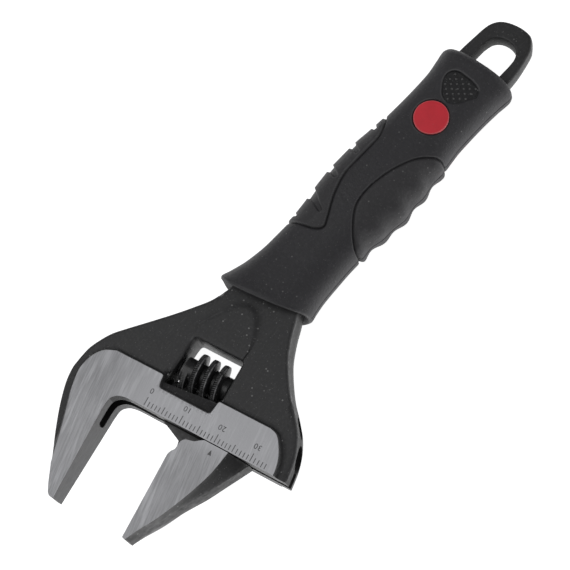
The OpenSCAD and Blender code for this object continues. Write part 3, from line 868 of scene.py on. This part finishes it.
thumb_edge = smooth([[-10, 8.1], [-8.3, 3.4], [-7, 0.3], [-5.2, -1.15], [-2.4, 0.1], [2.5, 2.8], [8.2, 4.75],
    [13.8, 4.95], [18.5, 5], [21.4, 5.4], [24.6, 7], [26.8, 9.5]], 8)
finger_edge = smooth([[25.9, -12.6], [27, -10.8], [26.1, -8.8], [22.6, -6], [18.5, -4.2], [14.3, -3.1],
    [9.3, -2.5], [4.9, -3], [2, -4.5], [-0.9, -7], [-3.4, -9.6], [-4.3, -11]], 8)
thumb_line = np.vstack([[[-10.2, 14]], thumb_edge, [[27.6, 14]]])
finger_line = np.vstack([[[25.2, -15]], finger_edge, [[-4.4, -15]]])
heel_line = ring([[40.2, 2.1], [39.2, 1.2], [38.5, -0.2], [38.5, -1.8], [39.4, -3.2], [40.7, -4.2], [42.3, -5], [44, -5.8],
    [45.4, -5.4], [46.2, -4.5], [46.5, -2.7], [46.5, -0.5], [46.3, 1.7], [45.5, 3.2], [43.9, 3.9], [42, 3.4]], 5)
DISC = np.array([32.9, -1.2])
# the thumb pad's cross slots: (outer end, inner end, half width outside, half width inside)
SLOTS = [((-7.5, 10.5), (-7.1, 6.9), 0.85, 0.45), ((0.2, 10.5), (-2.7, 2.6), 1.6, 0.55), ((8, 11.5), (6.3, 6.1), 1.15, 0.6),
         ((16, 11.5), (14.4, 6.6), 1.1, 0.6), ((23, 11.5), (22.2, 7.8), 1.0, 0.6)]


def pchip(xs, ys, x):
    xs, ys = np.asarray(xs, float), np.asarray(ys, float)
    h = np.diff(xs)
    d = np.diff(ys) / h
    m = np.zeros(len(xs))
    m[0], m[-1] = d[0], d[-1]
    for i in range(1, len(xs) - 1):
        if d[i - 1] * d[i] > 0:
            w1, w2 = 2 * h[i] + h[i - 1], h[i] + 2 * h[i - 1]
            m[i] = (w1 + w2) / (w1 / d[i - 1] + w2 / d[i])
    i = np.clip(np.searchsorted(xs, x, side="right") - 1, 0, len(h) - 1)
    t = (x - xs[i]) / h[i]
    return ((1 + 2 * t) * (1 - t) ** 2 * ys[i] + t * (1 - t) ** 2 * h[i] * m[i]
            + t * t * (3 - 2 * t) * ys[i + 1] + t * t * (t - 1) * h[i] * m[i + 1])


def seg_dist(P, a, b):
    a, b = np.asarray(a, float), np.asarray(b, float)
    t = np.clip(((P - a) @ (b - a)) / ((b - a) @ (b - a)), 0, 1)
    return np.linalg.norm(P - a - t[:, None] * (b - a), axis=1), t


def build_grip():
    p = 2 / 0.75
    # angles spaced evenly along an average section, closer together at the parting line
    th = np.linspace(0, 2 * math.pi, 20001)
    w, h = 10.0, 8.2
    r = (np.abs(np.cos(th) / w) ** p + np.abs(np.sin(th) / h) ** p) ** (-1 / p)
    q = np.stack([r * np.cos(th), r * np.sin(th)], 1)
    z = np.abs(q[:, 1])
    dens = 1 + 3.0 * np.exp(-(z / 0.35) ** 2)
    seg = np.linalg.norm(np.diff(q, axis=0), axis=1) * 0.5 * (dens[1:] + dens[:-1])
    cum = np.concatenate([[0], np.cumsum(seg)])
    n = 320
    ang = np.interp(np.arange(n) / n * cum[-1], cum, th)
    # rows
    body = np.arange(-27.0, 50.2, 0.2)
    U = np.concatenate([[-27.75, -27.55, -27.3], body, [50.2, 50.45, 50.7, 50.95, 51.2, 51.4, 51.55, 51.7]])
    S = np.stack([U] + [pchip(STATIONS[:, 0], STATIONS[:, k], U) for k in range(1, 6)], 1)
    ca, sa_ = np.cos(ang), np.sin(ang)
    yc = (S[:, 1] + S[:, 2]) / 2
    W = (S[:, 1] - S[:, 2]) / 2
    H = S[:, 3]
    rr = (np.abs(ca[None] / W[:, None]) ** p + np.abs(sa_[None] / H[:, None]) ** p) ** (-1 / p)
    Y = yc[:, None] + rr * ca[None]
    Z = rr * sa_[None]
    X = S[:, :1] - 0.28 * S[:, 4:5] * Y - 1.9 * S[:, 5:6] * (Z / H[:, None]) ** 2
    P = np.stack([X, Y, Z], 2)
    dU = np.gradient(P, axis=0)
    dV = (np.roll(P, -1, 1) - np.roll(P, 1, 1))
    N = np.cross(dV, dU)
    N /= np.maximum(np.linalg.norm(N, axis=2), 1e-9)[..., None]
    if (N[200, :, :] * (P[200] - P[200].mean(0))).sum() < 0:
        N = -N
    m = len(U)
    flat = P.reshape(-1, 3)
    nf = N.reshape(-1, 3)
    xy = flat[:, :2]
    d = np.zeros(len(flat))
    dt = dist(xy, thumb_line, False)
    df = dist(xy, finger_line, False)
    in_t = inside(xy, thumb_line)
    in_f = inside(xy, finger_line)
    # pads stand a little proud, with a groove round them
    d += np.where(in_t, 0.32 * sstep(dt / 0.6), 0)
    d += np.where(in_f, 0.22 * sstep(df / 0.8), 0)
    d -= 0.55 * np.exp(-(dt / 0.27) ** 2)
    d -= 0.55 * np.exp(-(df / 0.27) ** 2)
    # slots across the thumb pad
    top = sstep((flat[:, 1] - 2) / 3)
    slot_edge = np.full(len(flat), 9.0)
    for a, b, hw0, hw1 in SLOTS:
        q, t = seg_dist(xy, a, b)
        q = q - (hw0 + (hw1 - hw0) * t)
        d -= np.where(in_t, 0.66 * sstep(-q / 0.26 + 0.5), 0)
        slot_edge = np.minimum(slot_edge, q)
    # finger waves along the lower side
    side = sstep((-flat[:, 1] - 5.5) / 4.0) * np.where(in_f, sstep(df / 1.2), 0) * (1 - 0.8 * sstep((np.abs(flat[:, 2]) - 5.2) / 2.4))
    ph = (flat[:, 0] - 3.7) / 7.3 * 2 * math.pi
    d += side * 0.4 * np.cos(ph) * (0.5 + 0.5 * sstep((np.abs(flat[:, 2]) - 0.8) / 2.5))
    # parting line
    near_side = np.abs(nf[:, 1]) > 0.9
    d -= np.where(near_side, 0.26 * np.exp(-(flat[:, 2] / 0.14) ** 2), 0)
    flat = flat + nf * d[:, None]
    # sockets for the discs and the heel pads
    face = np.abs(flat[:, 2]) > 5.5
    rd = np.linalg.norm(flat[:, :2] - DISC, axis=1)
    zt = np.abs(flat[:, 2])
    zt = np.where(face, zt - sstep((4.78 - rd) / 0.22) * np.maximum(0, zt - 7.3), zt)
    dh = dist(flat[:, :2], heel_line)
    ih = inside(flat[:, :2], heel_line)
    zt = np.where(face & ih, zt - sstep(dh / 0.3) * np.maximum(0, zt - 7.2), zt)
    zt = np.where(face & ~ih, zt - 0.1 * np.exp(-(dh / 0.25) ** 2), zt)
    flat[:, 2] = np.sign(flat[:, 2]) * zt
    # painted shade in grooves, slots, recess borders and the parting line, and painted highlight lines beside them,
    # from the distance to each line
    st = np.where(in_t, dt, -dt)
    sf = np.where(in_f, -df, df)
    sl = np.where(np.abs(st) < np.abs(sf), st, sf)
    painted_highlight = np.exp(-((sl - 0.34) / 0.13) ** 2)
    painted_shade = np.exp(-((sl + 0.02) / 0.2) ** 2)
    painted_highlight = np.maximum(painted_highlight, np.where(in_t, 0.35 * np.exp(-((slot_edge - 0.15) / 0.12) ** 2), 0))
    painted_shade = np.maximum(painted_shade, np.where(in_t, 0.55 * np.exp(-((slot_edge + 0.12) / 0.16) ** 2), 0))
    sh = np.where(ih, dh, -dh)
    above = sstep((flat[:, 1] + 1.6 + (flat[:, 0] - 38.5) * 0.55) / 0.8)
    # painted highlight on the upper side of the heel pad's edge
    painted_highlight = np.maximum(painted_highlight, np.where(face, 0.8 * above * np.exp(-((sh + 0.2) / 0.14) ** 2), 0))
    painted_shade = np.maximum(painted_shade, np.where(face, np.exp(-((sh - 0.08) / 0.17) ** 2), 0))
    painted_shade = np.maximum(painted_shade, np.where(face, np.exp(-((rd - 4.58) / 0.14) ** 2), 0))
    # painted highlight on one side of the disc socket's edge
    left = sstep((flat[:, 1] - DISC[1] - (flat[:, 0] - DISC[0]) * 0.6 + 0.5) / 2)
    painted_highlight = np.maximum(painted_highlight, np.where(face, 0.6 * left * np.exp(-((rd - 4.92) / 0.13) ** 2), 0))
    # painted highlight along the collar's end
    painted_highlight = np.maximum(painted_highlight, 0.6 * np.exp(-((np.repeat(U, n) + 27.55) / 0.22) ** 2))
    # the parting line: painted shade in its crease and a painted highlight just above it
    seam = np.where(near_side, np.exp(-(flat[:, 2] / 0.19) ** 2), 0)
    painted_highlight = np.maximum(painted_highlight, np.where(near_side, 0.3 * np.exp(-((flat[:, 2] - 0.36) / 0.14) ** 2), 0))
    painted_shade = np.maximum(painted_shade, 1.0 * seam)
    painted_highlight *= 1 - 0.9 * painted_shade
    G = flat.reshape(m, n, 3)
    # end caps: rows that turn inwards, then the middle
    verts = [G.reshape(-1, 3)]
    faces = []
    for j in range(m - 1):
        a = j * n + np.arange(n)
        b = j * n + (np.arange(n) + 1) % n
        faces.append(np.stack([a, b, b + n, a + n], 1))
    base = m * n
    for e, row in ((0, G[0]), (1, G[-1])):
        c = row.mean(0)
        prev = (0 if e == 0 else (m - 1) * n) + np.arange(n)
        for s_, deep in ((0.97, 0.12), (0.9, 0.4), (0.75, 0.8), (0.5, 1.1), (0.25, 1.2)):
            new = c + (row - c) * [s_ if e == 0 else s_, s_, s_]
            if e == 0:
                new[:, 0] = c[0] + (row[:, 0] - c[0]) * s_ + deep
            verts.append(new)
            cur = base + np.arange(n)
            base += n
            q = np.stack([prev, np.roll(prev, -1), np.roll(cur, -1), cur], 1)
            faces.append(q[:, ::-1] if e == 0 else q)
            prev = cur
        verts.append(c[None] + ([[1.2, 0, 0]] if e == 0 else [[0, 0, 0]]))
        k = base
        base += 1
        tri = np.stack([prev, np.roll(prev, -1), np.full(n, k), np.full(n, k)], 1)
        faces.append(tri[:, ::-1] if e == 0 else tri)
    V = np.vstack(verts)
    F = np.vstack(faces)
    c = V[F].mean(1)
    kind = np.zeros(len(F), int)
    grid = np.arange(len(F)) < (m - 1) * n
    kind[grid & inside(c[:, :2], thumb_line)] = 1
    kind[grid & inside(c[:, :2], finger_line)] = 2
    obs = []
    for k, name, mat in ((0, "grip_shell", SKIN), (1, "thumb_inset", SOFT), (2, "finger_inset", SOFT)):
        f = F[kind == k]
        used = np.unique(f)
        remap = -np.ones(len(V), int)
        remap[used] = np.arange(len(used))
        f = remap[f]
        fs = [tuple(dict.fromkeys(t)) for t in f]
        pad = np.zeros(len(V) - m * n)
        ob = make(name, from_handle(V[used]), fs, [mat], angle=0,
                  attrs={"painted_highlight": np.concatenate([painted_highlight, pad])[used], "painted_shade": np.concatenate([painted_shade, pad])[used]})
        so = ob.modifiers.new("s", "SOLIDIFY")
        so.thickness = 0.0004
        so.offset = -1
        so.use_rim = True
        dg = bpy.context.evaluated_depsgraph_get()
        me = bpy.data.meshes.new_from_object(ob.evaluated_get(dg))
        ob.modifiers.clear()
        ob.data = me
        me.shade_smooth()
        me.set_sharp_from_angle(angle=math.radians(60))
        obs.append(ob)
    return obs


# ------------------------------------------------------------------ worm, marks, discs and heel pads
PITCH = 3.05
PHASE = 6.7


def build_worm():
    nx, na = 220, 384
    x0, x1 = 2.4, 15.6
    xs = np.concatenate([[x0, x0 + 0.06, x0 + 0.18, x0 + 0.3, 3.0, 3.3], np.linspace(3.5, 15.2, nx), [15.35, x1 - 0.12, x1 - 0.05, x1]])
    an = np.arange(na) / na * 2 * math.pi
    A, Xg = np.meshgrid(an, xs)
    crest = PHASE + (np.degrees(A) - 90) / 360 * PITCH
    off = (Xg - crest) / PITCH
    off = (off - np.round(off)) * PITCH          # signed distance from the nearest crest line
    u = np.abs(off)
    height = 1 - sstep((u - 0.56) / 0.6)
    # the thread starts and stops along its own helix
    line = np.round((Xg - crest) / PITCH) * PITCH + crest
    fade = sstep((line - 3.75) / 0.7) * sstep((15.1 - line) / 0.6)
    core = 3.25
    top = 5.5 - 0.10 * (u / 0.5) ** 2 * (u < 0.6)
    kn = np.abs(((A * 64 / (2 * math.pi) + Xg * 0.9) % 1.0) - 0.5) * 2      # serrations along the crest's left edge
    cut = sstep((0.22 - off) / 0.2) * sstep((off + 0.75) / 0.2)
    r = core + (top - core) * height * fade
    r -= 0.26 * sstep((kn - 0.35) / 0.4) * cut * fade
    # bright line along each crest's right edge, on the serration tops and round the hub's end: painted highlight,
    # partly worn steel
    painted_highlight = np.exp(-((off - 0.47) / 0.13) ** 2) * fade
    worm_wear_and_glint = np.maximum(painted_highlight * 1.1, 0.75 * sstep((0.35 - kn) / 0.3) * cut * sstep((off + 0.55) / 0.2) * fade)
    worm_wear_and_glint = np.maximum(worm_wear_and_glint, np.exp(-((Xg - x0 - 0.2) / 0.12) ** 2))
    edge = np.where(Xg < x0 + 0.2, (x0 + 0.2 - Xg) * 1.2, 0) + np.where(Xg > x1 - 0.15, (Xg - x1 + 0.15) * 1.5, 0)
    r = r - edge
    V = np.stack([Xg, WORM_Y + r * np.cos(A), r * np.sin(A)], 2).reshape(-1, 3)
    F = []
    m = len(xs)
    for j in range(m - 1):
        a_ = j * na + np.arange(na)
        b_ = j * na + (np.arange(na) + 1) % na
        F += [tuple(t) for t in np.stack([a_, a_ + na, b_ + na, b_], 1)]
    # bored ends
    verts = [V]
    base = len(V)

    def hoop(x, rad):
        nonlocal base
        verts.append(np.stack([np.full(na, x), WORM_Y + rad * np.cos(an), rad * np.sin(an)], 1))
        base += na
        return base - na + np.arange(na)

    chain = [hoop(x0, 2.75), hoop(x0 + 0.1, 2.65), hoop(5.0, 2.65), hoop(5.0, 1.57), hoop(x1, 1.57)]
    seq = [np.arange(na)] + chain + [(m - 1) * na + np.arange(na)]
    for p_, q_ in zip(seq[:-1], seq[1:]):
        F += [tuple(t) for t in np.stack([p_, np.roll(p_, -1), np.roll(q_, -1), q_], 1)]
    return make("worm_screw_thread", from_head(np.vstack(verts)), F, [COAT_WORM], angle=40,
                attrs={"wear_and_glint": np.concatenate([worm_wear_and_glint.ravel(), np.zeros(base - len(V))])})


def box_mesh(x0, x1, y0, y1, z0, z1):
    v = [[x0, y0, z0], [x1, y0, z0], [x1, y1, z0], [x0, y1, z0], [x0, y0, z1], [x1, y0, z1], [x1, y1, z1], [x0, y1, z1]]
    f = [(3, 2, 1, 0), (4, 5, 6, 7), (0, 1, 5, 4), (1, 2, 6, 5), (2, 3, 7, 6), (3, 0, 4, 7)]
    return np.array(v, float), f


def joined(name, parts, mat, to, angle=30):
    V, F, n = [], [], 0
    for v, f in parts:
        V.append(np.asarray(v, float))
        F += [tuple(int(i) + n for i in t) for t in f]
        n += len(v)
    return make(name, to(np.vstack(V)), F, [mat], angle=angle)


def digit_mesh(text, size):
    cu = bpy.data.curves.new("digits", "FONT")
    cu.body = text
    cu.size = size
    cu.extrude = 0.06
    cu.align_x = "CENTER"
    cu.align_y = "CENTER"
    cu.space_character = 1.1
    ob = bpy.data.objects.new("digits", cu)
    bpy.context.scene.collection.objects.link(ob)
    dg = bpy.context.evaluated_depsgraph_get()
    me = bpy.data.meshes.new_from_object(ob.evaluated_get(dg))
    bm = bmesh.new()
    bm.from_mesh(me)
    bmesh.ops.remove_doubles(bm, verts=bm.verts, dist=1e-5)
    v = np.array([q.co[:] for q in bm.verts])
    f = [tuple(q.index for q in p.verts) for p in bm.faces]
    bm.free()
    bpy.data.objects.remove(ob)
    bpy.data.meshes.remove(me)
    return v, f


def build_marks():
    parts = []
    for k in range(0, 35):
        long_ = 2.2 if k % 10 == 0 else (1.9 if k % 5 == 0 else 1.35)
        parts.append(box_mesh(k - 0.1, k + 0.1, -15.35, -15.35 + long_, HH - 0.08, HH + 0.012))
    for k in (0, 10, 20, 30):
        v, f = digit_mesh(str(k), 1.95)
        c = (v.min(0) + v.max(0)) / 2
        v = v - [c[0], c[1], 0]
        v = np.stack([k - v[:, 0] + 0.05, -11.4 - v[:, 1], HH - 0.048 + v[:, 2]], 1)
        parts.append((v, f))
    return joined("scale_marks", parts, ETCH, from_head, 30)


def build_pointer():
    p = [[20.0, -18.65], [21.0, -18.6], [20.42, -17.2]]
    v, f = extruded(p, HH - 0.1, HH + 0.012)
    return joined("pointer_mark", [(v, f)], ETCH, from_head, 30)


def build_disc(side):
    prof = [(0.0, 7.0), (4.35, 7.0), (4.42, 7.05), (4.45, 7.68), (4.41, 7.78), (4.33, 7.84), (4.2, 7.86), (4.0, 7.865), (3.0, 7.88), (1.5, 7.9), (0.0, 7.9)]
    n = 96
    V, F = [], []
    for r, z in prof[1:-1]:
        for k in range(n):
            a_ = 2 * math.pi * k / n
            V.append([DISC[0] + r * math.cos(a_), DISC[1] + r * math.sin(a_), z])
    m = len(prof) - 2
    for j in range(m - 1):
        for k in range(n):
            a_, b_ = j * n + k, j * n + (k + 1) % n
            F.append((a_, b_, b_ + n, a_ + n))
    V += [[DISC[0], DISC[1], 7.0], [DISC[0], DISC[1], 7.9]]
    for k in range(n):
        F.append((m * n, (k + 1) % n, k))
        F.append((m * n + 1, (m - 1) * n + k, (m - 1) * n + (k + 1) % n))
    V = np.array(V)
    if side < 0:
        V[:, 2] *= -1
        F = [t[::-1] for t in F]
    rr = np.hypot(V[:, 0] - DISC[0], V[:, 1] - DISC[1])
    # painted highlight ring round the disc's edge
    painted_highlight = np.exp(-((rr - 4.38) / 0.1) ** 2)
    return make("red_disc_" + ("top" if side > 0 else "under"), from_handle(V), F, [RED], angle=40, attrs={"painted_highlight": painted_highlight})


def build_heel(side):
    edge = resample(heel_line, 0.35)
    shrink = 0.12

    def height(v):
        return 7.5 - 0.22 * (1 - quarter(dist(v, edge) / 0.3)) + 0.0 * v[:, 0]

    t = np.roll(edge, -1, 0) - np.roll(edge, 1, 0)
    t /= np.linalg.norm(t, axis=1)[:, None]
    loop = edge + np.stack([-t[:, 1], t[:, 0]], 1) * shrink
    v, f, h = relief(loop, [], [], height, 0.8, [(loop, (0.08, 0.18, 0.3))])
    V, F, kind = slab(v, f, h, bottom=np.full(len(v), 6.9))
    parts = [(V, F)]
    # rows of small pips
    n = 10
    for i in range(-9, 10):
        for j in range(-9, 10):
            c = np.array([40.8 + 0.966 * i - 0.81 * j, 1.25 - 1.107 * i - 1.06 * j])
            if not inside(c[None], loop)[0] or dist(c[None], loop)[0] < 0.42:
                continue
            r = 0.3
            vv = [[c[0], c[1], 7.70]]
            ff = []
            rows = [(0.45 * r, 7.685), (0.8 * r, 7.62), (r, 7.5), (r, 7.3)]
            for rad, z in rows:
                for k in range(n):
                    a_ = 2 * math.pi * k / n
                    vv.append([c[0] + rad * math.cos(a_), c[1] + rad * math.sin(a_), z])
            for k in range(n):
                ff.append((0, 1 + k, 1 + (k + 1) % n))
            for q in range(3):
                for k in range(n):
                    a_, b_ = 1 + q * n + k, 1 + q * n + (k + 1) % n
                    ff.append((a_, a_ + n, b_ + n, b_))
            ff.append(tuple(1 + 3 * n + k for k in range(n - 1, -1, -1)))
            parts.append((np.array(vv), ff))
    parts = [(np.asarray(v_) * [1, 1, side], [t[::-1] for t in f_] if side < 0 else f_) for v_, f_ in parts]
    ob = joined("heel_inset_" + ("top" if side > 0 else "under"), parts, TEXT, from_handle, 40)
    ob.data.materials.append(PIPS)
    first = len(parts[0][1])
    ob.data.polygons.foreach_set("material_index", np.array([0 if k < first else 1 for k in range(len(ob.data.polygons))], np.int32))
    return ob


# ------------------------------------------------------------------ pieces on their bodies
body_ob = ride(build_body(), "wrench", "forged_black", "body")
loop_ob = ride(build_loop(), "wrench", "forged_black", "body")
jaw_ob = ride(build_jaw(), "jaw", "ground_steel", "movable_jaw")
shell_ob, thumb_ob, finger_ob = build_grip()
ride(shell_ob, "wrench", "grip_hard", "grip_sleeve")
ride(thumb_ob, "wrench", "grip_soft", "thumb_pad")
ride(finger_ob, "wrench", "grip_soft", "finger_pad")
ride(build_worm(), "worm_screw", "forged_black", "worm")
ride(build_marks(), "wrench", "forged_black")
ride(build_pointer(), "jaw", "forged_black")
ride(build_disc(1), "wrench", "disc_red", "red_disc_front")
ride(build_disc(-1), "wrench", "disc_red", "red_disc_back")
ride(build_heel(1), "wrench", "grip_soft", "heel_pad_front")
ride(build_heel(-1), "wrench", "grip_soft", "heel_pad_back")

for n, m in (("worm_pin", COAT), ("worm_spring", WIRE)):
    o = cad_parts[n]
    o.data.materials.clear()
    o.data.materials.append(m)

# ------------------------------------------------------------------ stage, light, camera
def build_stage():
    me = bpy.data.meshes.new("floor")
    s = 4.0
    me.from_pydata([(-s, -s, 0), (s, -s, 0), (s, s, 0), (-s, s, 0)], [], [(0, 1, 2, 3)])
    fl = bpy.data.objects.new("floor", me)
    bpy.context.scene.collection.objects.link(fl)
    m = Net("floor_pale", (0.9, 0.9, 0.9), 0.8)
    m.b.inputs["Specular IOR Level"].default_value = 0.1
    c = m.mix(m.ramp(m.noise(3, 2, 0.5), 0.3, 0.7), (0.9, 0.9, 0.9), (0.91, 0.91, 0.91))
    m.color(c)
    m.b.inputs["Emission Color"].default_value = (1, 1, 1, 1)
    m.b.inputs["Emission Strength"].default_value = 0.9
    me.materials.append(m.m)


def area(name, loc, target, size, power, shape="RECTANGLE", size_y=None):
    li = bpy.data.lights.new(name, "AREA")
    li.shape = shape
    li.size = size
    li.size_y = size_y or size
    li.energy = power
    ob = bpy.data.objects.new(name, li)
    bpy.context.scene.collection.objects.link(ob)
    ob.location = loc
    d = Vector(target) - Vector(loc)
    ob.rotation_euler = d.to_track_quat("-Z", "Y").to_euler()
    return ob


build_stage()
area("key", (-0.25, 0.35, 0.9), (0, 0, 0), 0.7, 2.8)
area("side", (0.55, -0.45, 0.5), (0, 0, 0), 0.5, 0.82)

w = bpy.data.worlds.new("studio")
bpy.context.scene.world = w
w.use_nodes = True
w.node_tree.nodes["Background"].inputs["Color"].default_value = (1, 1, 1, 1)
w.node_tree.nodes["Background"].inputs["Strength"].default_value = 0.12

sc = bpy.context.scene
sc.view_settings.view_transform = "Standard"
sc.view_settings.look = "None"

cam = bpy.data.cameras.new("camera")
cam_ob = bpy.data.objects.new("camera", cam)
sc.collection.objects.link(cam_ob)
cam.sensor_width = 36.0
cam.sensor_fit = "HORIZONTAL"
cam.lens = 142.6206
cam.clip_start = 0.01
cam.clip_end = 20
cam_ob.matrix_world = Matrix((
    (0.69564311, 0.71037567, -0.10699095, -0.06501247),
    (-0.70154289, 0.63969323, -0.31405436, -0.16871067),
    (-0.15465519, 0.29352850, 0.94335719, 0.53453427),
    (0, 0, 0, 1)))
sc.camera = cam_ob
